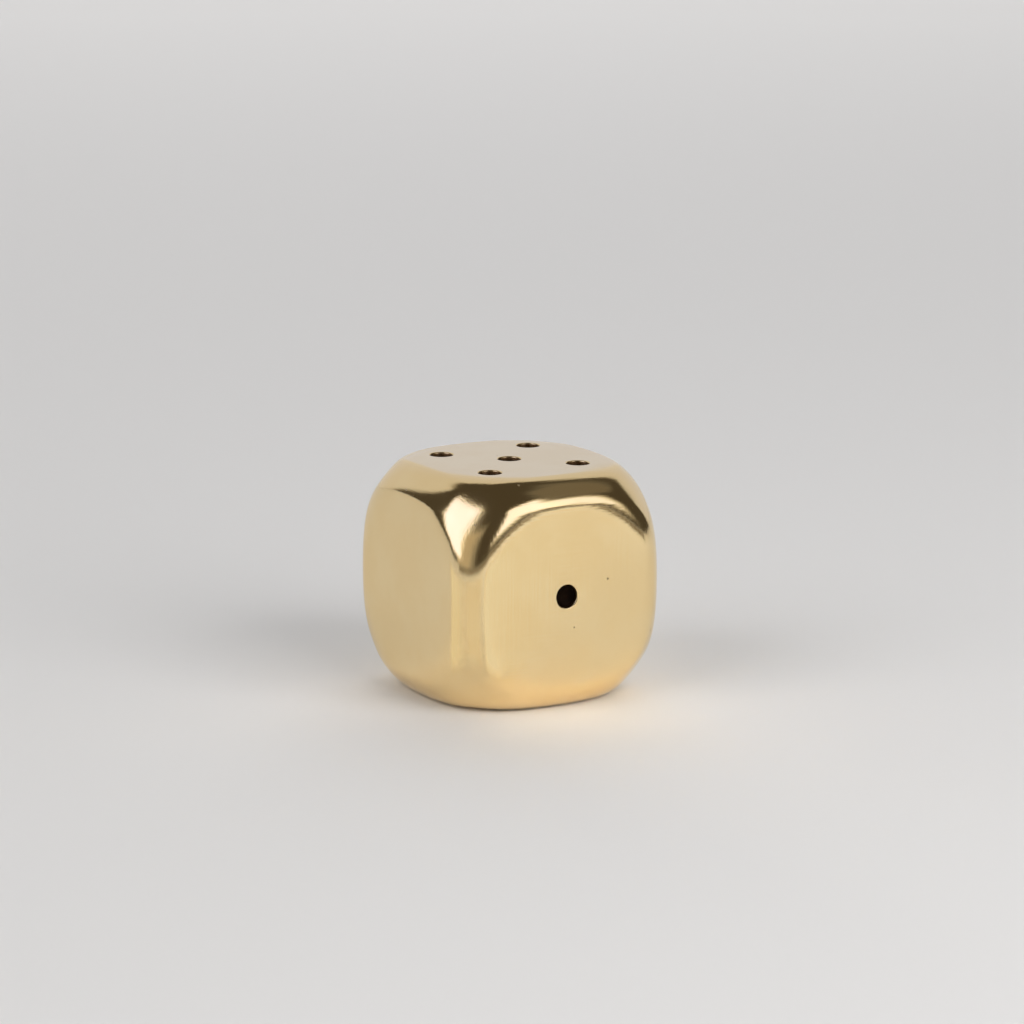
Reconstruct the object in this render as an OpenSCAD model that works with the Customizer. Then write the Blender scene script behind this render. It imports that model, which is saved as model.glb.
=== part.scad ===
// A brass gaming die whose six faces carry blank to five pips.
// The body is one solid piece of brass with a drilled recess for each pip,
// and each recess holds its own fill of black enamel.
// It stands on its two-pip face, with the origin at the middle of that face.

/* [Body] */
// Size across opposite flats, in millimetres
edge = 25; // [20:0.5:40]
// Radius of the twelve long edges, as a share of the size
edge_round = 0.12; // [0.08:0.01:0.16]
// Radius of the ball that trims the eight corners, as a share of the size
corner_ball = 0.679; // [0.67:0.001:0.74]
// Width of the soft step between the ball and the flats, as a share of the size
corner_blend = 0.058; // [0.02:0.002:0.08]
// Facets across each rounded edge
edge_steps = 7; // [3:1:8]
// Facets across half a flat
flat_steps = 4; // [4:1:8]

/* [Pips] */
// Diameter of a drilled recess
pip_d = 2.5; // [1.5:0.1:2.8]
// How far the outer pips lie from the middle of a face, each way, as a share of the size
pip_pitch = 0.214; // [0.18:0.002:0.225]
// Depth of a recess's straight wall
pip_depth = 2; // [1.4:0.1:2.4]
// Full angle of the drill's point
drill_angle = 118; // [90:1:140]
// Width of the polished bevel round each mouth
rim_bevel = 0.1; // [0.05:0.01:0.2]

/* [Enamel] */
// How far the enamel's edge lies below the face
enamel_level = 0.5; // [0.2:0.05:0.8]
// How much lower the middle of the enamel lies than its edge
enamel_dish = 0.35; // [0.1:0.05:0.5]

/* [Hidden] */
$fn = 64;
BRASS = "#c9a765";
ENAMEL = "#15110d";
half = edge / 2;
edge_r = edge * edge_round;
ball_r = edge * corner_ball;
blend = edge * corner_blend;
core = half - edge_r;
pip_r = pip_d / 2;
spread = edge * pip_pitch;
point_depth = pip_r / tan(drill_angle / 2);
clear = 1;
enamel_land = 0.04;

// Each face: its name, its pip count and the turn that brings the top there.
FACES = [
    ["five", 5, [0, 0, 0]],
    ["one", 1, [90, 0, 0]],
    ["blank", 0, [0, -90, 0]],
    ["two", 2, [180, 0, 0]],
    ["four", 4, [-90, 0, 0]],
    ["three", 3, [0, 90, 0]]
];

// Where a face's pips lie, in steps from its middle.
function pip_spots(count) = concat(
    count % 2 == 1 ? [[0, 0]] : [],
    count >= 2 ? [[-1, 1], [1, -1]] : [],
    count >= 4 ? [[-1, -1], [1, 1]] : []
);

function pip_name(face, i) = str("pip_fill_", face[0], "_", i + 1);

// ---- The rounded body ----

// The smaller of two lengths, with a soft step of the given width where they meet.
function soft_min(a, b, width) =
    let (share = max(0, min(1, 0.5 + (b - a) / (2 * width))))
    b + (a - b) * share - width * share * (1 - share);

function clamped(point) = [for (x = point) max(-core, min(core, x))];

// A point of the plain cube's skin, moved on to the rounded edge and then in to the ball.
function on_body(skin) =
    let (
        inner = clamped(skin),
        outward = skin - inner,
        rounded = inner + outward * edge_r / norm(outward),
        reach = norm(rounded)
    )
    rounded * soft_min(reach, ball_r, blend) / reach;

// Grid lines from the middle of a face to its edge: even on the flat, then even angles round the edge.
grid_half = concat(
    [for (i = [0 : flat_steps - 1]) core * i / flat_steps],
    [for (i = [0 : edge_steps]) core + edge_r * tan(45 * i / edge_steps)]
);
last = len(grid_half) - 1;
grid = concat([for (i = [last : -1 : 1]) -grid_half[i]], grid_half);
lines = len(grid);

// The grid drawn on the top, carried to one of the six sides by a proper turn.
function on_side(axis, top, x, y) =
    let (p = top ? [x, y, half] : [-y, -x, -half])
    [for (i = [0 : 2]) p[(i + axis) % 3]];

side_points = [
    for (axis = [0 : 2]) for (top = [true, false]) for (y = grid) for (x = grid)
        on_body(on_side(axis, top, x, y))
];

// Two triangles a cell, cut so that the pattern is the same in all four quarters.
side_faces = [
    for (side = [0 : 5]) for (j = [0 : lines - 2]) for (i = [0 : lines - 2])
        let (
            a = (side * lines + j) * lines + i,
            b = a + 1,
            c = b + lines,
            d = a + lines,
            same_quarter = (i < last) == (j < last)
        )
        each same_quarter ? [[a, d, b], [b, d, c]] : [[a, d, c], [a, c, b]]
];

module blank_die() polyhedron(points = side_points, faces = side_faces);

// ---- The pips ----

// Puts what is drawn at the origin, with its mouth upwards, at one pip of a face.
module at_pip(face, spot)
    translate([0, 0, half])
        rotate(face[2])
            translate([spot[0] * spread, spot[1] * spread, half])
                children();

// The space that the drill and the bevel clear, measured down from the face.
module drilled_space()
    rotate_extrude()
        polygon([
            [0, -pip_depth - point_depth],
            [pip_r, -pip_depth],
            [pip_r, -rim_bevel],
            [pip_r + rim_bevel + clear, clear],
            [0, clear]
        ]);

// The enamel follows the drilled wall and point, and its top is a shallow dish.
module enamel_fill() {
    dish_edge = pip_r - enamel_land;
    dish_r = (dish_edge * dish_edge + enamel_dish * enamel_dish) / (2 * enamel_dish);
    difference() {
        rotate_extrude()
            polygon([
                [0, -pip_depth - point_depth],
                [pip_r, -pip_depth],
                [pip_r, -enamel_level],
                [0, -enamel_level]
            ]);
        translate([0, 0, dish_r - enamel_level - enamel_dish])
            sphere(r = dish_r);
    }
}

// ---- The nodes ----

module die_body()
    color(BRASS)
        difference() {
            translate([0, 0, half]) blank_die();
            for (face = FACES)
                for (spot = pip_spots(face[1]))
                    at_pip(face, spot) drilled_space();
        }

module pip_fill(face, i)
    color(ENAMEL)
        at_pip(face, pip_spots(face[1])[i]) enamel_fill();

die_body();
for (face = FACES)
    for (i = [0 : 1 : face[1] - 1])
        pip_fill(face, i);
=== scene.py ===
"""A brass gaming die: its drilled body, the enamel in its pips, and the plain stage that it stands on."""

import math
from collections import namedtuple

import bpy
import numpy as np
from bpy.props import FloatProperty, FloatVectorProperty, IntProperty, PointerProperty
from mathutils import Euler, Matrix, Vector


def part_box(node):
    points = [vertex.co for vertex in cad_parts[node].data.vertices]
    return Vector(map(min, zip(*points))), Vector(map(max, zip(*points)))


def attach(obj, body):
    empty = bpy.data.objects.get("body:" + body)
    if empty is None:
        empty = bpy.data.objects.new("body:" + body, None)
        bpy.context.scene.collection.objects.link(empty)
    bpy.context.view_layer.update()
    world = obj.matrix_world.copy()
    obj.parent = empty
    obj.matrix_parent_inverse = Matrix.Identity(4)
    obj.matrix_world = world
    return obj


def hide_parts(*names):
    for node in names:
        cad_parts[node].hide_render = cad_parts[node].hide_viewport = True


bl_info = {
    "name": "Brass Gaming Die",
    "version": (1, 0, 0),
    "blender": (4, 5, 0),
    "location": "3D View > Sidebar > Die",
    "description": "A solid brass die with drilled and enamelled pips, on a plain studio stage",
    "category": "Add Mesh",
}

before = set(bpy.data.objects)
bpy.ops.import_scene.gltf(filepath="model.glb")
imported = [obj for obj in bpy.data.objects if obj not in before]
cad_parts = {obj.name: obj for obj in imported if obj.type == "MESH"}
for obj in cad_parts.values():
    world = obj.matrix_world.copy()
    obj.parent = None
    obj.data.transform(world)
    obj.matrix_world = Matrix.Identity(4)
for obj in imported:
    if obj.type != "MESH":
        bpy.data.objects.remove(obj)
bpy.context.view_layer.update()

# ---- Sizes that the frame gives, in metres ----

BODY_NODE = "die_body"
FILL_NODES = sorted(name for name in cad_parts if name.startswith("pip_fill_"))
MM = 0.001

body_low, body_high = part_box(BODY_NODE)
CENTRE = (body_low + body_high) / 2
EDGE = body_high.z - body_low.z
HALF = EDGE / 2

# The turn, in degrees about X, Y and Z, that brings the top face to each face's place.
FACE_TURNS = {
    "five": (0, 0, 0),
    "one": (90, 0, 0),
    "blank": (0, -90, 0),
    "two": (180, 0, 0),
    "four": (-90, 0, 0),
    "three": (0, 90, 0),
}


def face_turn(face):
    """The turn that brings the top face to another face's place."""
    return Euler([math.radians(a) for a in FACE_TURNS[face]]).to_matrix()


def fill_face(node):
    """The face that a fill belongs to, from its name: pip_fill_FACE_NUMBER."""
    return node.split("_")[2]


# A fill on the top face: where its middle lies, its radius, and how far down its top and bottom are.
FillPlace = namedtuple("FillPlace", "x y radius top bottom")


def fill_on_face(node):
    """A fill's place, worked out from its box carried to the top face."""
    low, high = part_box(node)
    back = face_turn(fill_face(node)).transposed()
    corners = [back @ (corner - CENTRE) for corner in (low, high)]
    low = Vector(map(min, *corners))
    high = Vector(map(max, *corners))
    middle = (low + high) / 2
    return FillPlace(middle.x, middle.y, (high.x - low.x) / 2, HALF - high.z, HALF - low.z)


FILL_PLACES = {node: fill_on_face(node) for node in FILL_NODES}
PIP_RADIUS = FILL_PLACES[FILL_NODES[0]].radius
RECESS_DEPTH = FILL_PLACES[FILL_NODES[0]].bottom
PIP_PITCH = max(place.x for place in FILL_PLACES.values())

# Rings of points in a pip's patch: from its square to the lip, and then along the lip, the wall and the cone.
SLIDE_RINGS = 9
LIP_RINGS = 7
WALL_RINGS = 9
CONE_RINGS = 5

# Steps of a card's grid each way.
CARD_STEPS = 25


# ---- Settings ----


class DieShape(bpy.types.PropertyGroup):
    """The shape of the rounded body and of its drilled recesses."""

    edge_round: FloatProperty(
        name="Edge radius",
        description="Radius of the twelve long edges",
        default=0.12 * EDGE,
        unit="LENGTH",
    )
    corner_ball: FloatProperty(
        name="Corner ball",
        description="Radius of the ball that trims the eight corners",
        default=0.679 * EDGE,
        unit="LENGTH",
    )
    corner_blend: FloatProperty(
        name="Corner blend",
        description="Width of the soft step between the ball and the flats",
        default=0.058 * EDGE,
        unit="LENGTH",
    )
    lip: FloatProperty(
        name="Pip lip",
        description="Radius of the polished lip round each pip",
        default=0.13 * MM,
        unit="LENGTH",
    )
    drill_angle: FloatProperty(
        name="Drill point",
        description="Full angle of the drill's point",
        default=math.radians(118),
        subtype="ANGLE",
    )
    block_cells: IntProperty(
        name="Cells per pip",
        description="Grid cells along a pip's square of the face",
        default=16,
        min=8,
    )
    edge_cells: IntProperty(
        name="Cells per edge",
        description="Grid cells across half a rounded edge",
        default=14,
        min=4,
    )


class DieFinish(bpy.types.PropertyGroup):
    """The colours and polish of the brass and the enamel."""

    brass: FloatVectorProperty(
        name="Brass",
        description="Colour of the clean brass",
        default=(0.955, 0.746, 0.408),
        size=3,
        subtype="COLOR",
    )
    # Painted shade: the dark brown given to the drilled walls of the recesses, standing in for the shade
    # inside them.
    painted_recess_shade: FloatVectorProperty(
        name="Painted_recess_shade",
        description="Colour of the brass where it has darkened",
        default=(0.20, 0.085, 0.02),
        size=3,
        subtype="COLOR",
    )
    enamel: FloatVectorProperty(
        name="Enamel",
        description="Colour of the enamel in the pips",
        default=(0.004, 0.002, 0.001),
        size=3,
        subtype="COLOR",
    )
    polish: FloatProperty(
        name="Polish",
        description="Roughness of the polished outside",
        default=0.10,
        min=0,
        max=1,
    )
    bore: FloatProperty(
        name="Bore",
        description="Roughness of the drilled walls",
        default=0.42,
        min=0,
        max=1,
    )
    line_height: FloatProperty(
        name="Line height",
        description="Height of the polishing lines",
        default=0.009 * MM,
        unit="LENGTH",
        precision=6,
    )


class DieStage(bpy.types.PropertyGroup):
    """Where the camera stands, the floor, and the light that the floor and the brass get."""

    azimuth: FloatProperty(
        name="Azimuth",
        description="Direction of the camera round the die, from the one-pip face",
        default=math.radians(-29.5),
        subtype="ANGLE",
    )
    elevation: FloatProperty(
        name="Elevation",
        description="Height of the camera above the horizon",
        default=math.radians(13.3),
        subtype="ANGLE",
    )
    roll: FloatProperty(
        name="Roll",
        description="Turn of the camera about its own axis",
        default=math.radians(0.32),
        subtype="ANGLE",
    )
    distance: FloatProperty(
        name="Distance",
        description="From the middle of the die to the camera",
        default=17.27 * EDGE,
        unit="LENGTH",
    )
    lens: FloatProperty(
        name="Lens",
        description="Focal length, in millimetres",
        default=141,
        unit="CAMERA",
    )
    lift: FloatProperty(
        name="Lift",
        description="How far above the middle of the die the camera aims",
        default=0.26 * EDGE,
        unit="LENGTH",
    )
    aside: FloatProperty(
        name="Aside",
        description="How far to the right of the middle of the die the camera aims",
        default=0.013 * EDGE,
        unit="LENGTH",
    )
    floor_colour: FloatVectorProperty(
        name="Floor",
        description="Colour of the floor",
        default=(0.80, 0.795, 0.79),
        size=3,
        subtype="COLOR",
    )
    backdrop: FloatVectorProperty(
        name="Backdrop",
        description="Tone behind the floor",
        default=(0.68, 0.68, 0.68),
        size=3,
        subtype="COLOR",
    )
    room_fill: FloatVectorProperty(
        name="Room fill",
        description="Light that the room gives to matt surfaces from all round",
        default=(0.18, 0.182, 0.185),
        size=3,
        subtype="COLOR",
    )
    room_reflected: FloatVectorProperty(
        name="Room in the brass",
        description="Tone of the dark room that the brass reflects",
        default=(0.066, 0.056, 0.042),
        size=3,
        subtype="COLOR",
    )
    lamps: FloatProperty(
        name="Lamps",
        description="Strength of the floor's lamps",
        default=1,
        min=0,
    )
    softbox_glow: FloatVectorProperty(
        name="Softboxes",
        description="Light of the softboxes that the brass reflects",
        default=(1.30, 1.34, 1.86),
        size=3,
        subtype="COLOR",
        soft_max=4,
    )
    spill_glow: FloatVectorProperty(
        name="Spill",
        description="Light on the room's walls beside the left softbox",
        default=(0.42, 0.37, 0.30),
        size=3,
        subtype="COLOR",
    )
    backdrop_glow: FloatVectorProperty(
        name="Backdrop in the brass",
        description="Tone of the backdrop that the brass reflects",
        default=(0.63, 0.65, 0.74),
        size=3,
        subtype="COLOR",
    )
    bounce: FloatProperty(
        name="Bounce",
        description="How much stronger the softboxes are in the light that the brass throws on the floor",
        default=22,
        min=0,
    )


# ---- Surfaces ----


def soft_min(a, b, width):
    """The smaller of a and b, with a parabola of the given width joining them."""
    share = np.clip(0.5 + (b - a) / (2 * width), 0, 1)
    return b + (a - b) * share - width * share * (1 - share)


def body_surface(skin, shape):
    """Points of the plain cube's skin, moved on to the rounded body.

    Each point is clamped to the cube's core, and the rest of its way out is given the length of the
    edge radius. Its distance from the middle is then the soft minimum of itself and the corner ball's radius.
    """
    core = HALF - shape.edge_round
    inner = np.clip(skin, -core, core)
    outward = skin - inner
    outward /= np.linalg.norm(outward, axis=-1, keepdims=True)
    rounded = inner + outward * shape.edge_round
    reach = np.linalg.norm(rounded, axis=-1, keepdims=True)
    return rounded * soft_min(reach, shape.corner_ball, shape.corner_blend) / reach


def on_plane(x, y):
    """Points at x and y on the plane of the top face."""
    return np.stack(np.broadcast_arrays(x, y, HALF), axis=-1)


def quads_of(rows, columns, skip=None):
    """Corner numbers of the cells between the points of a grid, whose points are numbered row by row."""
    row, column = np.meshgrid(np.arange(rows - 1), np.arange(columns - 1), indexing="ij")
    first = row * columns + column
    if skip is not None:
        first = first[~skip]
    first = first.ravel()
    return np.stack([first, first + 1, first + 1 + columns, first + columns], axis=-1)


def face_lines(shape):
    """Grid lines across a face.

    Three pip squares stand in the middle, each as wide as the pips' pitch, and their lines are evenly
    spaced. Beside them the flat goes on to the edge, with a line just short of it, and the edge is cut at
    even angles.
    """
    core = HALF - shape.edge_round
    flat_end = 1.5 * PIP_PITCH
    guard_gap = 0.05 * shape.edge_round
    guard = core - guard_gap
    angles = np.linspace(0, math.pi / 4, shape.edge_cells + 1)
    rounded = core + shape.edge_round * np.tan(angles)
    beside = np.concatenate([np.linspace(flat_end, guard, 4)[1:], rounded])
    middle = np.linspace(-flat_end, flat_end, 3 * shape.block_cells + 1)
    return np.concatenate([-beside[::-1], middle, beside])


def pip_patch(lines, corner, middle, shape):
    """One pip's square of the face with its recess, as rings that run from the square to the drill's point.

    The first rings slide evenly from the square's outline to the lip's circle. The next follow the lip's
    quarter circle, the straight wall and the cone, turned about the pip's axis.
    """
    cells = shape.block_cells
    column, row = corner
    across = lines[column : column + cells + 1]
    along = lines[row : row + cells + 1]
    outline_x = np.concatenate(
        [across[:-1], np.full(cells, across[-1]), across[:0:-1], np.full(cells, across[0])]
    )
    outline_y = np.concatenate(
        [np.full(cells, along[0]), along[:-1], np.full(cells, along[-1]), along[:0:-1]]
    )
    first_corner = -0.75 * math.pi
    turn = first_corner + np.linspace(0, 2 * math.pi, 4 * cells, endpoint=False)
    circle = np.stack([np.cos(turn), np.sin(turn)], axis=-1)

    mouth = PIP_RADIUS + shape.lip
    slide = np.linspace(0, 1, SLIDE_RINGS)[:, None]
    x = outline_x * (1 - slide) + (middle[0] + mouth * circle[:, 0]) * slide
    y = outline_y * (1 - slide) + (middle[1] + mouth * circle[:, 1]) * slide
    rim = body_surface(on_plane(x, y), shape)

    wall_end = RECESS_DEPTH - PIP_RADIUS / math.tan(shape.drill_angle / 2)
    bend = np.linspace(0, math.pi / 2, LIP_RINGS)[1:]
    wall = np.linspace(shape.lip, wall_end, WALL_RINGS)[1:]
    cone = np.linspace(1, 0, CONE_RINGS)[1:]
    lip_radius = mouth - shape.lip * np.sin(bend)
    lip_depth = shape.lip * (1 - np.cos(bend))
    cone_depth = wall_end + (1 - cone) * (RECESS_DEPTH - wall_end)
    radius = np.concatenate([lip_radius, np.full(len(wall), PIP_RADIUS), PIP_RADIUS * cone])
    depth = np.concatenate([lip_depth, wall, cone_depth])
    bore_x = middle[0] + radius[:, None] * circle[:, 0]
    bore_y = middle[1] + radius[:, None] * circle[:, 1]
    bore = np.stack([bore_x, bore_y, np.broadcast_to(HALF - depth[:, None], bore_x.shape)], axis=-1)

    rings = np.concatenate([rim, bore])
    rings = np.concatenate([rings, rings[:, :1]], axis=1)
    down = np.concatenate([np.zeros(len(rim)), depth])
    down = np.broadcast_to(down[:, None], rings.shape[:2]).ravel()
    return rings.reshape(-1, 3), quads_of(rings.shape[0], rings.shape[1]), down


def join_patches(patches):
    """One set of points, faces and depths from many, in which points nearer than the grain are made one."""
    points = np.concatenate([patch[0] for patch in patches])
    down = np.concatenate([patch[2] for patch in patches])
    starts = np.cumsum([0] + [len(patch[0]) for patch in patches[:-1]])
    quads = np.concatenate([patch[1] + start for patch, start in zip(patches, starts)])
    grain = 1e-8
    cells = np.round(points / grain).astype(np.int64)
    _, keep, new = np.unique(cells, axis=0, return_index=True, return_inverse=True)
    return points[keep], new.reshape(-1)[quads], down[keep]


def make_mesh(name, points, quads, down=None):
    """A smooth-shaded mesh object from points and four-cornered faces.

    Each point's depth becomes an attribute. A face with two corners in one place loses one of them.
    """
    mesh = bpy.data.meshes.new(name)
    used, numbers = np.unique(quads, return_inverse=True)
    points = points[used]
    quads = numbers.reshape(quads.shape)
    same = quads == np.roll(quads, -1, axis=1)
    whole = quads[~same.any(axis=1)].tolist()
    short = [list(dict.fromkeys(face)) for face in quads[same.any(axis=1)].tolist()]
    mesh.from_pydata(points, [], whole + [face for face in short if len(face) == 3])
    mesh.polygons.foreach_set("use_smooth", np.ones(len(mesh.polygons), bool))
    if down is not None:
        mesh.attributes.new("down", "FLOAT", "POINT").data.foreach_set("value", down[used] / MM)
    mesh.update()
    piece = bpy.data.objects.new(name, mesh)
    bpy.context.scene.collection.objects.link(piece)
    return piece


def carried(points, face):
    """Points of the top face, turned to another face and moved to the die's place."""
    return points @ np.array(face_turn(face)).T + np.array(CENTRE)


def face_patches(face, shape):
    """A face with its recesses, and half of each rounded edge round it."""
    lines = face_lines(shape)
    count = len(lines)
    x, y = np.meshgrid(lines, lines)
    skip = np.zeros((count - 1, count - 1), bool)
    patches = []
    first = (count - 1 - 3 * shape.block_cells) // 2
    for node in FILL_NODES:
        if fill_face(node) != face:
            continue
        middle = (FILL_PLACES[node].x, FILL_PLACES[node].y)
        corner = [first + shape.block_cells * (round(offset / PIP_PITCH) + 1) for offset in middle]
        column, row = corner
        skip[row : row + shape.block_cells, column : column + shape.block_cells] = True
        patches.append(pip_patch(lines, corner, middle, shape))
    points = body_surface(on_plane(x, y), shape).reshape(-1, 3)
    patches.append((points, quads_of(count, count, skip), np.zeros(len(points))))
    return [(carried(points, face), quads, down) for points, quads, down in patches]


def enamel_surface(node, drill_angle):
    """The enamel in one recess, as a profile turned about the pip's axis.

    Its top hangs from the wall in a dish whose depth falls with the fourth power of the radius, and its sides
    follow the wall and the drill's cone, a hair inside them.
    """
    x, y, radius, top, bottom = FILL_PLACES[node]
    sides = 48
    gap = 0.004 * MM
    reach = radius - gap
    dish = 0.35 * MM
    inward = np.linspace(0, 1, 13)
    top_depth = top + dish * (1 - inward**4)
    wall_end = bottom - radius / math.tan(drill_angle / 2)
    profile_radius = np.concatenate([reach * inward, [reach, reach * 0.5, 0]])
    profile_depth = np.concatenate([top_depth, [wall_end, (wall_end + bottom) / 2 - gap, bottom - 2 * gap]])
    turn = np.linspace(0, 2 * math.pi, sides + 1)
    turn[-1] = 0
    points = np.stack(
        [
            x + profile_radius[:, None] * np.cos(turn),
            y + profile_radius[:, None] * np.sin(turn),
            HALF - np.broadcast_to(profile_depth[:, None], (len(profile_depth), sides + 1)),
        ],
        axis=-1,
    )
    quads = quads_of(*points.shape[:2])[:, ::-1]
    down = np.broadcast_to(profile_depth[:, None], points.shape[:2]).ravel()
    return carried(points.reshape(-1, 3), fill_face(node)), quads, down


# ---- Materials ----

# The part of a mottle's noise that its effects are stretched over.
MOTTLE_RANGE = (0.3, 0.7)

# The tint of a softbox's margin and of the backdrop, against their middles.
MARGIN_TINT = (1.0, 0.95, 0.84)


def new_group(name, inputs, outputs):
    """A shader node group with named float, colour or vector sockets."""
    group = bpy.data.node_groups.new(name, "ShaderNodeTree")
    for label, kind, value in inputs:
        socket = group.interface.new_socket(label, in_out="INPUT", socket_type=kind)
        if value is not None:
            socket.default_value = value
    for label, kind in outputs:
        group.interface.new_socket(label, in_out="OUTPUT", socket_type=kind)
    return group, group.nodes.new("NodeGroupInput"), group.nodes.new("NodeGroupOutput")


def feed(links, socket, value):
    """Links a socket's value from another socket, or sets it from a number, a vector or a colour."""
    if isinstance(value, bpy.types.NodeSocket):
        links.new(value, socket)
    elif hasattr(value, "__len__") and len(socket.default_value) == 4:
        socket.default_value = (*value, 1)
    else:
        socket.default_value = value


def math_node(nodes, links, operation, *values, clamp=False):
    """A Math node fed by sockets or numbers; gives its output socket."""
    node = nodes.new("ShaderNodeMath")
    node.operation = operation
    node.use_clamp = clamp
    for socket, value in zip(node.inputs, values):
        feed(links, socket, value)
    return node.outputs[0]


def vector_math(nodes, links, operation, *values):
    """A Vector Math node fed by sockets or vectors; gives its vector output."""
    node = nodes.new("ShaderNodeVectorMath")
    node.operation = operation
    for socket, value in zip(node.inputs, values):
        feed(links, socket, value)
    return node.outputs["Vector"]


def map_range(nodes, links, value, source, target, curve="LINEAR"):
    """Carries a value from one range to another, clamped."""
    node = nodes.new("ShaderNodeMapRange")
    node.interpolation_type = curve
    feed(links, node.inputs["Value"], value)
    for label, number in zip(("From Min", "From Max", "To Min", "To Max"), (*source, *target)):
        node.inputs[label].default_value = number
    return node.outputs["Result"]


def mix_colour(nodes, links, share, first, second):
    """Mixes two colours by a share."""
    node = nodes.new("ShaderNodeMix")
    node.data_type = "RGBA"
    sockets = {socket.identifier: socket for socket in node.inputs}
    feed(links, sockets["Factor_Float"], share)
    feed(links, sockets["A_Color"], first)
    feed(links, sockets["B_Color"], second)
    return next(socket for socket in node.outputs if socket.identifier == "Result_Color")


def noise(nodes, links, point, scale, detail):
    """A noise value from 0 to 1 at a point."""
    node = nodes.new("ShaderNodeTexNoise")
    feed(links, node.inputs["Vector"], point)
    feed(links, node.inputs["Scale"], scale)
    node.inputs["Detail"].default_value = detail
    return node.outputs["Fac"]


def die_point(nodes, links):
    """The shaded point, measured from the middle of the die in millimetres."""
    place = nodes.new("ShaderNodeTexCoord")
    from_middle = vector_math(nodes, links, "SUBTRACT", place.outputs["Object"], tuple(CENTRE))
    return vector_math(nodes, links, "MULTIPLY", from_middle, (1 / MM,) * 3)


def polish_group():
    """Fine polishing lines.

    Three noises are each drawn out along one axis. Each shows where its own axis runs along the nearest
    edge: its weight is the square of how far the point lies in from that axis's two faces.
    """
    group, start, end = new_group(
        "polishing_lines",
        [
            ("Point", "NodeSocketVector", None),
            ("Lines per mm", "NodeSocketFloat", 5.0),
            ("Half size", "NodeSocketFloat", HALF / MM),
        ],
        [("Height", "NodeSocketFloat")],
    )
    nodes, links = group.nodes, group.links
    point = start.outputs["Point"]
    size = vector_math(nodes, links, "ABSOLUTE", point)
    parts = nodes.new("ShaderNodeSeparateXYZ")
    links.new(size, parts.inputs["Vector"])
    drawn_out = 0.04
    total = 0.0
    weights = 0.001
    for axis in range(3):
        stretch = [drawn_out if i == axis else 1.0 for i in range(3)]
        stretched = vector_math(nodes, links, "MULTIPLY", point, stretch)
        lines = noise(nodes, links, stretched, start.outputs["Lines per mm"], 3)
        share = math_node(nodes, links, "DIVIDE", parts.outputs[axis], start.outputs["Half size"])
        inward = math_node(nodes, links, "SUBTRACT", 1.0, share, clamp=True)
        weight = math_node(nodes, links, "POWER", inward, 2.0)
        total = math_node(nodes, links, "MULTIPLY_ADD", lines, weight, total)
        weights = math_node(nodes, links, "ADD", weight, weights)
    links.new(math_node(nodes, links, "DIVIDE", total, weights), end.inputs["Height"])
    return group


def pit_group():
    """Sparse pits: one where the middle of a Voronoi cell lies within a wobbling radius of the surface."""
    group, start, end = new_group(
        "pits",
        [
            ("Point", "NodeSocketVector", None),
            ("Cells per mm", "NodeSocketFloat", 0.33),
            ("Radius", "NodeSocketFloat", 0.13),
        ],
        [("Mask", "NodeSocketFloat")],
    )
    nodes, links = group.nodes, group.links
    wobble = noise(nodes, links, start.outputs["Point"], 6.0, 1)
    cells = nodes.new("ShaderNodeTexVoronoi")
    links.new(start.outputs["Point"], cells.inputs["Vector"])
    links.new(start.outputs["Cells per mm"], cells.inputs["Scale"])
    far = math_node(nodes, links, "DIVIDE", cells.outputs["Distance"], start.outputs["Cells per mm"])
    swell = math_node(nodes, links, "ADD", wobble, 0.5)
    reach = math_node(nodes, links, "MULTIPLY", start.outputs["Radius"], swell)
    share = math_node(nodes, links, "DIVIDE", far, reach)
    inside = math_node(nodes, links, "SUBTRACT", 1.0, share, clamp=True)
    links.new(math_node(nodes, links, "POWER", inside, 0.5), end.inputs["Mask"])
    return group


def cloud_group():
    """Soft clouds of handling and uneven polish, with a finer mottle inside them."""
    group, start, end = new_group(
        "clouds",
        [("Point", "NodeSocketVector", None), ("Clouds per mm", "NodeSocketFloat", 0.2)],
        [("Cloud", "NodeSocketFloat"), ("Mottle", "NodeSocketFloat")],
    )
    nodes, links = group.nodes, group.links
    cloud = noise(nodes, links, start.outputs["Point"], start.outputs["Clouds per mm"], 3)
    links.new(map_range(nodes, links, cloud, (0.35, 0.65), (0, 1), "SMOOTHSTEP"), end.inputs["Cloud"])
    fine = math_node(nodes, links, "MULTIPLY", start.outputs["Clouds per mm"], 12.0)
    links.new(noise(nodes, links, start.outputs["Point"], fine, 2), end.inputs["Mottle"])
    return group


def placed(nodes, links, group, **values):
    """A group node with its inputs fed by name, where an underscore stands for a space."""
    node = nodes.new("ShaderNodeGroup")
    node.node_tree = group
    for label, value in values.items():
        feed(links, node.inputs[label.replace("_", " ")], value)
    return node.outputs


def depth_attribute(nodes):
    """How far down its recess the shaded point lies, in millimetres, and nothing outside the recesses."""
    attribute = nodes.new("ShaderNodeAttribute")
    attribute.attribute_name = "down"
    return attribute.outputs["Fac"]


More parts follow.
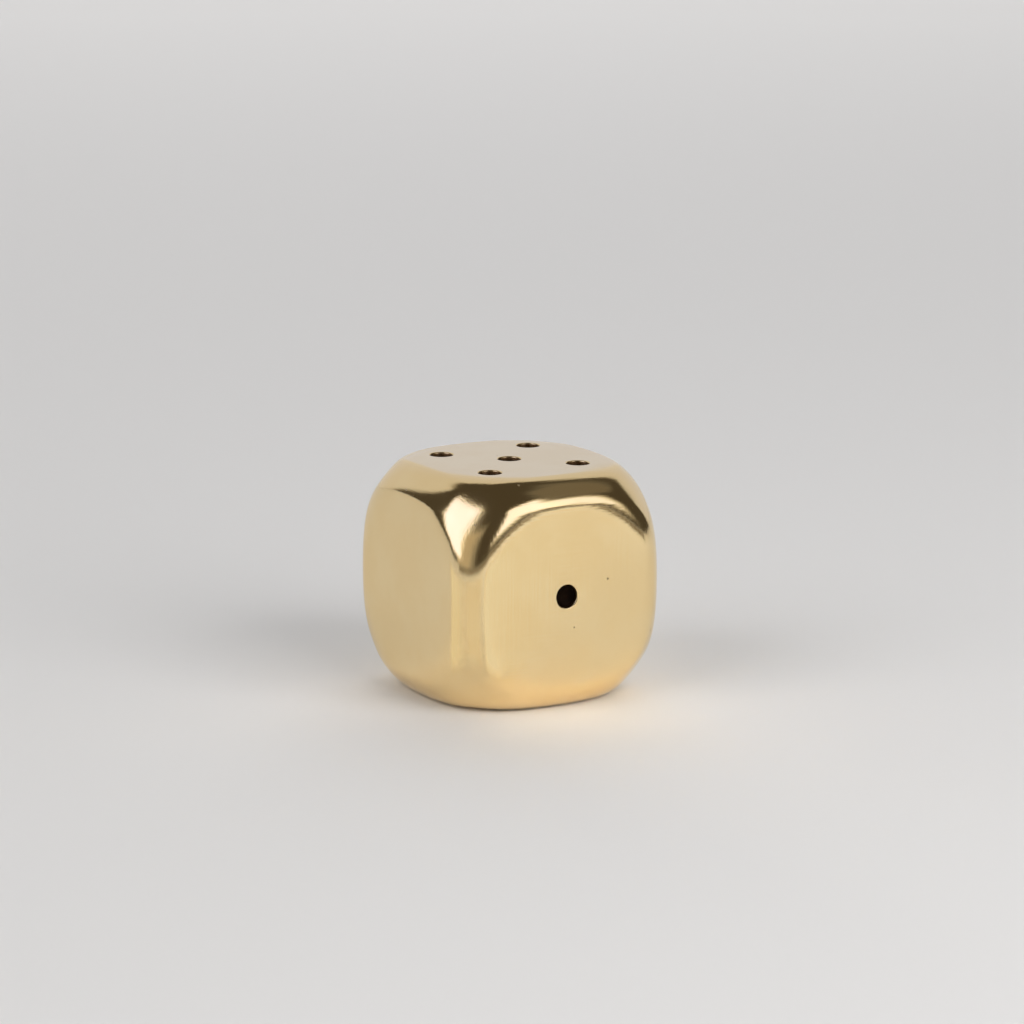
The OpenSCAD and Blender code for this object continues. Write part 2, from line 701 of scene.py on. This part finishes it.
def brass_material(finish, groups):
    """Polished brass: fine lines, clouds and small pits, and in each recess a duller wall darkened brown with
    painted shade.
    """
    material = bpy.data.materials.new("polished_brass")
    material.use_nodes = True
    nodes = material.node_tree.nodes
    links = material.node_tree.links
    shader = nodes["Principled BSDF"]
    shader.inputs["Metallic"].default_value = 1
    point = die_point(nodes, links)
    clouds = placed(nodes, links, groups["clouds"], Point=point)
    pits = placed(nodes, links, groups["pits"], Point=point)["Mask"]
    lines = placed(nodes, links, groups["lines"], Point=point)["Height"]
    down = depth_attribute(nodes)
    wall_start = (0.04, 0.16)
    wall = map_range(nodes, links, down, wall_start, (0, 1), "SMOOTHSTEP")

    deeper_tint = (0.985, 0.965, 0.93)
    pit_grime = (0.10, 0.06, 0.03)
    deeper = [channel * tint for channel, tint in zip(finish.brass, deeper_tint)]
    colour = mix_colour(nodes, links, clouds["Cloud"], tuple(finish.brass), deeper)
    # Painted shade: down each recess wall, mottled, the colour is darkened toward the dark brown of the
    # recess shade.
    uneven = map_range(nodes, links, clouds["Mottle"], MOTTLE_RANGE, (0.7, 1))
    recess_shade_share = math_node(nodes, links, "MULTIPLY", wall, uneven)
    colour = mix_colour(nodes, links, recess_shade_share, colour, tuple(finish.painted_recess_shade))
    grime = math_node(nodes, links, "MULTIPLY", pits, 0.8)
    colour = mix_colour(nodes, links, grime, colour, pit_grime)
    links.new(colour, shader.inputs["Base Color"])

    mottle_haze = (-0.015, 0.015)
    cloud_haze = 0.02
    pit_haze = 0.4
    haze = map_range(nodes, links, clouds["Mottle"], MOTTLE_RANGE, mottle_haze)
    rough = math_node(nodes, links, "ADD", haze, finish.polish)
    rough = math_node(nodes, links, "MULTIPLY_ADD", clouds["Cloud"], cloud_haze, rough)
    rough = math_node(nodes, links, "MULTIPLY_ADD", wall, finish.bore - finish.polish, rough)
    rough = math_node(nodes, links, "MULTIPLY_ADD", pits, pit_haze, rough, clamp=True)
    links.new(rough, shader.inputs["Roughness"])

    marks_per_mm = 14.0
    mark_height = 2.0
    pit_height = -4.0
    marks = noise(nodes, links, along_x(nodes, links, down), marks_per_mm, 1)
    wall_marks = math_node(nodes, links, "MULTIPLY", marks, wall)
    height = math_node(nodes, links, "MULTIPLY_ADD", wall_marks, mark_height, lines)
    height = math_node(nodes, links, "MULTIPLY_ADD", pits, pit_height, height)
    bump = nodes.new("ShaderNodeBump")
    bump.inputs["Distance"].default_value = finish.line_height
    links.new(height, bump.inputs["Height"])
    links.new(bump.outputs["Normal"], shader.inputs["Normal"])
    return material


def along_x(nodes, links, value):
    """A vector with the value along X."""
    node = nodes.new("ShaderNodeCombineXYZ")
    links.new(value, node.inputs["X"])
    return node.outputs["Vector"]


def enamel_material(finish, groups):
    """Baked enamel: near black and faintly brown, with a fine orange peel and specks of dust."""
    material = bpy.data.materials.new("pip_enamel")
    material.use_nodes = True
    nodes = material.node_tree.nodes
    links = material.node_tree.links
    shader = nodes["Principled BSDF"]
    shader.inputs["Specular IOR Level"].default_value = 0.02
    point = die_point(nodes, links)
    clouds = placed(nodes, links, groups["clouds"], Point=point, Clouds_per_mm=0.8)
    specks = placed(nodes, links, groups["pits"], Point=point, Cells_per_mm=2.5, Radius=0.05)["Mask"]
    browner = (0.008, 0.004, 0.002)
    dust = (0.05, 0.035, 0.02)
    colour = mix_colour(nodes, links, clouds["Cloud"], tuple(finish.enamel), browner)
    dusty = math_node(nodes, links, "MULTIPLY", specks, 0.5)
    colour = mix_colour(nodes, links, dusty, colour, dust)
    links.new(colour, shader.inputs["Base Color"])
    rough = map_range(nodes, links, clouds["Mottle"], MOTTLE_RANGE, (0.35, 0.55))
    links.new(rough, shader.inputs["Roughness"])
    bump = nodes.new("ShaderNodeBump")
    bump.inputs["Distance"].default_value = finish.line_height
    links.new(clouds["Mottle"], bump.inputs["Height"])
    links.new(bump.outputs["Normal"], shader.inputs["Normal"])
    return material


def finish_groups():
    """The node groups that the finishes share, made once."""
    if "clouds" not in bpy.data.node_groups:
        polish_group()
        pit_group()
        cloud_group()
    tree = bpy.data.node_groups
    return {"lines": tree["polishing_lines"], "pits": tree["pits"], "clouds": tree["clouds"]}


def floor_material(stage):
    """The matt pale sweep that the die stands on."""
    material = bpy.data.materials.new("pale_floor")
    material.use_nodes = True
    shader = material.node_tree.nodes["Principled BSDF"]
    shader.inputs["Base Color"].default_value = (*stage.floor_colour, 1)
    shader.inputs["Roughness"].default_value = 0.9
    shader.inputs["Specular IOR Level"].default_value = 0.1
    return material


def card_material(name, glow, soft, bounce):
    """A glowing card whose light fades to nothing over a soft margin.

    The margin's widths are shares of the card's width, left and right, and of its height, below and above.
    The margin is warmer than the middle. A ray that has already met a matt surface finds the card's upper
    part brighter, by the bounce, so that the brass throws more of its light on the floor.
    """
    material = bpy.data.materials.new(name)
    material.use_nodes = True
    nodes = material.node_tree.nodes
    links = material.node_tree.links
    nodes.clear()
    place = nodes.new("ShaderNodeUVMap")
    place.uv_map = "card"
    parts = nodes.new("ShaderNodeSeparateXYZ")
    links.new(place.outputs["UV"], parts.inputs["Vector"])
    share = 1.0
    for axis, (low, high) in zip("XY", soft):
        for start, end in ((0, low), (1, 1 - high)):
            ramp = map_range(nodes, links, parts.outputs[axis], (start, end), (0, 1), "SMOOTHSTEP")
            share = math_node(nodes, links, "MULTIPLY", share, ramp)
    warm = tuple(max(glow) * tint for tint in MARGIN_TINT)
    colour = mix_colour(nodes, links, math_node(nodes, links, "POWER", share, 2), warm, glow)
    path = nodes.new("ShaderNodeLightPath")
    upper_part = (0.22, 0.6)
    upper = map_range(nodes, links, parts.outputs["Y"], upper_part, (0, 1), "SMOOTHSTEP")
    from_floor = math_node(nodes, links, "MINIMUM", path.outputs["Diffuse Depth"], upper)
    strength = math_node(nodes, links, "MULTIPLY_ADD", from_floor, bounce, 1)
    lamp = nodes.new("ShaderNodeEmission")
    links.new(colour, lamp.inputs["Color"])
    links.new(strength, lamp.inputs["Strength"])
    clear = nodes.new("ShaderNodeBsdfTransparent")
    mix = nodes.new("ShaderNodeMixShader")
    end = nodes.new("ShaderNodeOutputMaterial")
    links.new(share, mix.inputs["Fac"])
    links.new(clear.outputs["BSDF"], mix.inputs[1])
    links.new(lamp.outputs["Emission"], mix.inputs[2])
    links.new(mix.outputs["Shader"], end.inputs["Surface"])
    return material


# ---- Operators ----


class MakeDieBody(bpy.types.Operator):
    """Make the brass body with its drilled recesses"""

    bl_idname = "mesh.die_body"
    bl_label = "Brass Body"

    def execute(self, context):
        shape = context.scene.die_shape
        patches = [patch for face in FACE_TURNS for patch in face_patches(face, shape)]
        body = make_mesh("brass_body", *join_patches(patches))
        body.data.materials.append(brass_material(context.scene.die_finish, finish_groups()))
        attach(body, "root")
        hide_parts(BODY_NODE)
        return {"FINISHED"}


class MakePipEnamel(bpy.types.Operator):
    """Make the enamel that lies in each recess"""

    bl_idname = "mesh.die_pip_enamel"
    bl_label = "Pip Enamel"

    def execute(self, context):
        shape = context.scene.die_shape
        material = enamel_material(context.scene.die_finish, finish_groups())
        for node in FILL_NODES:
            name = node.replace("pip_fill", "enamel")
            piece = make_mesh(name, *join_patches([enamel_surface(node, shape.drill_angle)]))
            piece.data.materials.append(material)
            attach(piece, "root")
            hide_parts(node)
        return {"FINISHED"}


def turned_profile(radius, height):
    """A profile of radii and heights, turned about the upright through the origin, facing up."""
    sides = 96
    turn = np.linspace(0, 2 * math.pi, sides + 1)
    turn[-1] = 0
    points = np.stack(
        [
            radius[:, None] * np.cos(turn),
            radius[:, None] * np.sin(turn),
            np.broadcast_to(height[:, None], (len(height), sides + 1)),
        ],
        axis=-1,
    )
    quads = quads_of(*points.shape[:2])[:, ::-1]
    return join_patches([(points.reshape(-1, 3), quads, np.zeros(points[..., 0].size))])[:2]


def bearing(azimuth, elevation):
    """The unit vector at an azimuth from the one-pip face and an elevation, both in radians."""
    flat = np.cos(elevation)
    return np.stack([np.sin(azimuth) * flat, -np.cos(azimuth) * flat, np.sin(elevation)], axis=-1)


def floor_lamp(name, azimuth, elevation, distance, size, watts, colour):
    """A soft square lamp at a bearing from the die, turned to face it. The brass doesn't reflect it."""
    light = bpy.data.lights.new(name, "AREA")
    light.shape = "SQUARE"
    light.size = size
    light.energy = watts
    light.color = colour
    lamp = bpy.data.objects.new(name, light)
    out = Vector(bearing(math.radians(azimuth), math.radians(elevation)))
    turned = out.to_track_quat("Z", "Y").to_matrix().to_4x4()
    lamp.matrix_world = Matrix.Translation(CENTRE + out * distance) @ turned
    lamp.visible_camera = False
    lamp.visible_glossy = False
    bpy.context.scene.collection.objects.link(lamp)


def card_shares():
    """Two grids of shares from 0 to 1: across a card, and from its foot to its head."""
    shares = np.linspace(0, 1, CARD_STEPS)
    return np.meshgrid(shares, shares)


def reflected_card(name, foot, head, elevations, distance, glow, soft, bounce=0):
    """A glowing card that only the brass reflects: a patch of a sphere round the die, in degrees.

    It lies between two elevations. Its sides run straight from the foot's two azimuths to the head's two.
    """
    across, up = card_shares()
    left = foot[0] + (head[0] - foot[0]) * up
    right = foot[1] + (head[1] - foot[1]) * up
    azimuth = np.radians(left + (right - left) * across)
    elevation = np.radians(elevations[0] + (elevations[1] - elevations[0]) * up)
    points = np.array(CENTRE) + distance * bearing(azimuth, elevation)
    glowing_card(name, points, card_material(name, glow, soft, bounce))


def floor_gleam(name, azimuths, glow, soft):
    """A tone of the floor that only the brass reflects: a flat sector round the near upright edge's foot.

    It lies a hair above the floor, between two azimuths in degrees and two distances from that foot.
    """
    nearest = 0.12 * EDGE
    farthest = 6 * EDGE
    aside = 0.46 * EDGE
    clearance = 0.1 * MM
    across, out = card_shares()
    azimuth = np.radians(azimuths[0] + (azimuths[1] - azimuths[0]) * across)
    reach = nearest + (farthest - nearest) * out
    foot = np.array([CENTRE.x - aside, CENTRE.y - aside, body_low.z + clearance])
    points = foot + reach[..., None] * bearing(azimuth, np.zeros_like(azimuth))
    glowing_card(name, points, card_material(name, glow, soft, bounce=0))


def glowing_card(name, points, material):
    """A card from a grid of points, with its shares as a UV map, that only reflections see."""
    card = make_mesh(name, points.reshape(-1, 3), quads_of(CARD_STEPS, CARD_STEPS))
    across, up = card_shares()
    places = np.stack([across.ravel(), up.ravel()], axis=-1)
    corners = np.zeros(len(card.data.loops), np.int32)
    card.data.loops.foreach_get("vertex_index", corners)
    card.data.uv_layers.new(name="card").data.foreach_set("uv", places[corners].ravel())
    card.data.materials.append(material)
    card.visible_camera = False
    card.visible_diffuse = False
    card.visible_shadow = False


class MakeDieStage(bpy.types.Operator):
    """Make the floor, the lights and the camera"""

    bl_idname = "scene.die_stage"
    bl_label = "Stage"

    def execute(self, context):
        stage = context.scene.die_stage
        self.make_floor(stage)
        self.make_world(context, stage)
        self.make_lamps(stage)
        self.make_cards(stage)
        self.make_camera(context, stage)
        return {"FINISHED"}

    def make_floor(self, stage):
        """A round floor, and a sweep that curves up all round it, which the brass doesn't reflect."""
        reach = 1.3
        bend = 0.4
        rings = np.array([0, 0.05, 0.2, 0.6, reach])
        arc = np.linspace(0, math.pi / 2, 17)
        material = floor_material(stage)
        for name, radius, height, reflected in (
            ("floor", rings, np.zeros(len(rings)), True),
            ("sweep", reach + bend * np.sin(arc), bend * (1 - np.cos(arc)), False),
        ):
            piece = make_mesh(name, *turned_profile(radius, height + body_low.z))
            piece.data.materials.append(material)
            piece.visible_glossy = reflected

    def make_camera(self, context, stage):
        """A camera on the stage's bearing, aimed a little above and beside the middle of the die."""
        camera = bpy.data.objects.new("camera", bpy.data.cameras.new("camera"))
        camera.data.lens = stage.lens
        camera.data.clip_start = 0.01
        camera.data.clip_end = 10
        back = Vector(bearing(stage.azimuth, stage.elevation))
        turned = back.to_track_quat("Z", "Y").to_matrix()
        place = CENTRE + back * stage.distance
        aim = CENTRE + turned.col[1] * stage.lift + turned.col[0] * stage.aside
        look = (place - aim).to_track_quat("Z", "Y").to_matrix() @ Matrix.Rotation(stage.roll, 3, "Z")
        camera.matrix_world = Matrix.Translation(place) @ look.to_4x4()
        context.scene.collection.objects.link(camera)
        context.scene.camera = camera

    def make_world(self, context, stage):
        """Three tones of one room: pale behind the floor, even on matt surfaces, and dark in the brass."""
        world = bpy.data.worlds.new("studio")
        world.use_nodes = True
        nodes = world.node_tree.nodes
        links = world.node_tree.links
        nodes.clear()
        path = nodes.new("ShaderNodeLightPath")
        tones = []
        for tone in (stage.room_fill, stage.room_reflected, stage.backdrop):
            sky = nodes.new("ShaderNodeBackground")
            sky.inputs["Color"].default_value = (*tone, 1)
            tones.append(sky.outputs["Background"])
        end = nodes.new("ShaderNodeOutputWorld")
        last = tones[0]
        for ray, tone in (("Is Glossy Ray", tones[1]), ("Is Camera Ray", tones[2])):
            mix = nodes.new("ShaderNodeMixShader")
            links.new(path.outputs[ray], mix.inputs["Fac"])
            links.new(last, mix.inputs[1])
            links.new(tone, mix.inputs[2])
            last = mix.outputs["Shader"]
        links.new(last, end.inputs["Surface"])
        context.scene.world = world
        context.scene.view_settings.view_transform = "Standard"

    def make_lamps(self, stage):
        """The lamps that light the floor and cast the die's soft shadows."""
        white = (1.0, 0.985, 0.975)
        for name, azimuth, elevation, distance, size, watts in (
            ("left_lamp", -80, 30, 1.8, 1.35, 13.4),
            ("right_lamp", 16, 26, 0.5, 0.36, 1.63),
            ("rear_lamp", 150, 36, 1.35, 1.3, 8.6),
        ):
            floor_lamp(name, azimuth, elevation, distance, size, watts * stage.lamps, white)

    def make_cards(self, stage):
        """All that the brass reflects besides the dark room, one group of cards after another."""
        softbox = np.array(stage.softbox_glow)
        spill = np.array(stage.spill_glow)
        backdrop = np.array(stage.backdrop_glow)
        self.make_left_cards(softbox, spill, stage.bounce)
        self.make_right_cards(softbox, stage.bounce)
        self.make_gleams()
        self.make_rear_cards(backdrop, spill)

    def make_left_cards(self, softbox, spill, bounce):
        """The tall softbox at the left, the lit wall beside it, and a low strip before the near edge."""
        left_bounce = 0.08
        reflected_card(
            "left_softbox",
            foot=(-126, -72),
            head=(-104, -56),
            elevations=(2, 59),
            distance=0.7,
            glow=softbox,
            soft=((0.14, 0.2), (0.08, 0.08)),
            bounce=bounce * left_bounce,
        )
        reflected_card(
            "left_spill",
            foot=(-92, -34),
            head=(-76, -32),
            elevations=(-1, 48),
            distance=0.72,
            glow=spill * 1.15,
            soft=((0.1, 0.5), (0.03, 0.35)),
        )
        reflected_card(
            "near_edge",
            foot=(-84, 64),
            head=(-84, 64),
            elevations=(-2.6, 2.2),
            distance=0.16,
            glow=spill * 0.5,
            soft=((0.03, 0.1), (0.1, 0.5)),
        )

    def make_right_cards(self, softbox, bounce):
        """The softbox at the right, and its dimmer, warmer spill."""
        reflected_card(
            "right_softbox",
            foot=(2, 31),
            head=(-8, 32),
            elevations=(1, 47),
            distance=0.7,
            glow=softbox * (1, 0.97, 0.84),
            soft=((0.14, 0.2), (0.2, 0.14)),
            bounce=bounce,
        )
        reflected_card(
            "right_spill",
            foot=(16, 62),
            head=(16, 56),
            elevations=(1, 36),
            distance=0.72,
            glow=softbox * (0.86, 0.86, 0.72),
            soft=((0.3, 0.4), (0.25, 0.3)),
        )

    def make_gleams(self):
        """Three tones of the floor in front of the near upright edge: in its middle, and to both sides."""
        floor_gleam("near_gleam", (-100, 4), (0.735, 0.685, 0.605), ((0.3, 0.3), (0.06, 0.3)))
        floor_gleam("left_gleam", (-136, -60), (0.78, 0.75, 0.67), ((0.25, 0.5), (0.06, 0.3)))
        floor_gleam("right_gleam", (-8, 46), (0.83, 0.82, 0.79), ((0.4, 0.4), (0.06, 0.3)))

    def make_rear_cards(self, backdrop, spill):
        """The pale backdrop, its brighter middle, and the dim ceiling before it."""
        reflected_card(
            "pale_backdrop",
            foot=(100, 208.5),
            head=(108, 228),
            elevations=(-1, 60),
            distance=0.8,
            glow=backdrop * MARGIN_TINT,
            soft=((0.06, 0.04), (0.02, 0.15)),
        )
        reflected_card(
            "backdrop_middle",
            foot=(132, 168),
            head=(132, 168),
            elevations=(2, 26),
            distance=0.78,
            glow=backdrop,
            soft=((0.3, 0.3), (0.2, 0.3)),
        )
        reflected_card(
            "ceiling",
            foot=(14, 98),
            head=(34, 112),
            elevations=(34, 72),
            distance=0.85,
            glow=spill * 0.38,
            soft=((0.2, 0.3), (0.12, 0.3)),
        )


class DiePanel(bpy.types.Panel):
    """Lists the die's pieces and settings"""

    bl_idname = "VIEW3D_PT_brass_die"
    bl_label = "Brass Die"
    bl_space_type = "VIEW_3D"
    bl_region_type = "UI"
    bl_category = "Die"

    def draw(self, context):
        scene = context.scene
        for title, settings in (
            ("Shape", scene.die_shape),
            ("Finish", scene.die_finish),
            ("Stage", scene.die_stage),
        ):
            box = self.layout.box()
            box.label(text=title)
            for name in type(settings).__annotations__:
                box.prop(settings, name)
        for operator in OPERATORS:
            self.layout.operator(operator.bl_idname)


SETTINGS = {"die_shape": DieShape, "die_finish": DieFinish, "die_stage": DieStage}
OPERATORS = (MakeDieBody, MakePipEnamel, MakeDieStage)
CLASSES = (*SETTINGS.values(), *OPERATORS, DiePanel)


def register():
    for cls in CLASSES:
        bpy.utils.register_class(cls)
    for name, settings in SETTINGS.items():
        setattr(bpy.types.Scene, name, PointerProperty(type=settings))


def unregister():
    for name in SETTINGS:
        delattr(bpy.types.Scene, name)
    for cls in reversed(CLASSES):
        bpy.utils.unregister_class(cls)


def main():
    """Builds the die and its stage."""
    register()
    bpy.ops.mesh.die_body()
    bpy.ops.mesh.die_pip_enamel()
    bpy.ops.scene.die_stage()


if __name__ == "__main__":
    main()
